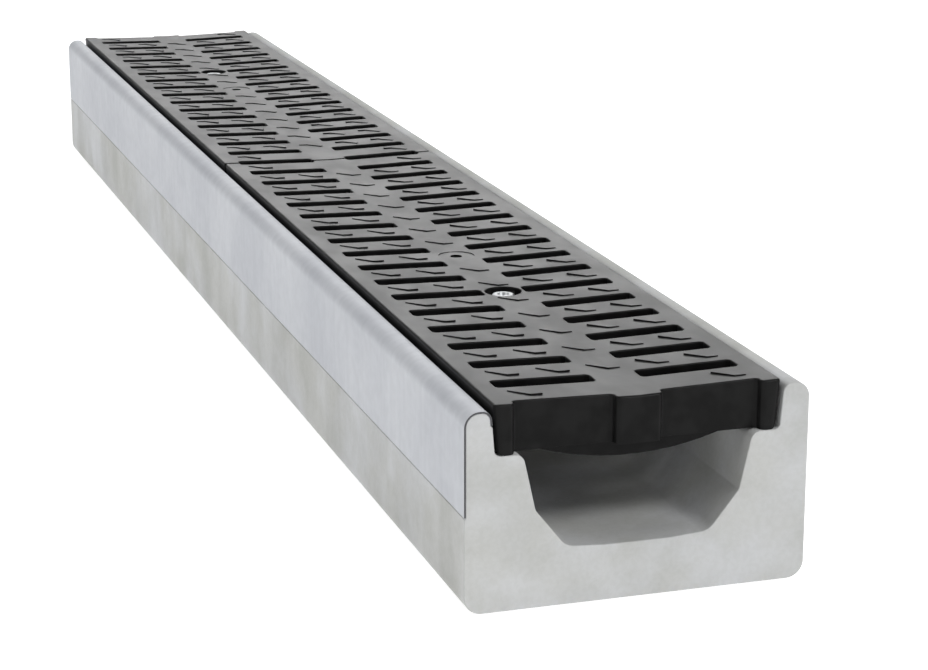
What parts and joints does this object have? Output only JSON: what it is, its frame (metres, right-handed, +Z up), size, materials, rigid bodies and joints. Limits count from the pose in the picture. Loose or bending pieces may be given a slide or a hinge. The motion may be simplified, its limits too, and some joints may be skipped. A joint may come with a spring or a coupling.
{
  "type": "channel drain",
  "caption": "Surface drainage channel: cast body with a trapezoid duct, a sheet steel edge rail on one wall and slotted lift-out gratings held by bolts in locking bars.",
  "frame": {"origin": "on the ground, under the middle of the channel's length and width", "axes": "+Y along the channel from the near end to the far end, +X across it to the side without the rail, +Z up"},
  "size_m": [0.15, 1, 0.0882],
  "materials": {
    "concrete": "smooth cast fibre concrete, cloudy grey",
    "galvanised_sheet": "hot dip galvanised, dull, faint spangle",
    "black_plastic": "moulded, fine matt grain with a sheen at low angles",
    "zinc_plate": "bright zinc plated",
    "galvanised_bar": "galvanised plate, dull"
  },
  "bodies": {
    "channel": {"channel_body": "concrete", "edge_rail": "galvanised_sheet", "locking_bar_front": "galvanised_bar", "locking_bar_rear": "galvanised_bar"},
    "front_grating": {"grate_front": "black_plastic"},
    "rear_grating": {"grate_rear": "black_plastic"},
    "front_bolt": {"bolt_front": "zinc_plate"},
    "rear_bolt": {"bolt_rear": "zinc_plate"}
  },
  "joints": [
    {"name": "front_grating_lift", "type": "slide", "parent": "channel", "child": "front_grating", "axis": [0, 0, 1], "range_m": [0, 0.06]},
    {"name": "rear_grating_lift", "type": "slide", "parent": "channel", "child": "rear_grating", "axis": [0, 0, 1], "range_m": [0, 0.06]},
    {"name": "front_bolt_turn", "type": "hinge", "parent": "front_grating", "child": "front_bolt", "pos_m": [0, -0.32353, 0.082], "axis": [0, 0, 1], "continuous": true},
    {"name": "rear_bolt_turn", "type": "hinge", "parent": "rear_grating", "child": "rear_bolt", "pos_m": [0, 0.32353, 0.082], "axis": [0, 0, 1], "continuous": true}
  ]
}
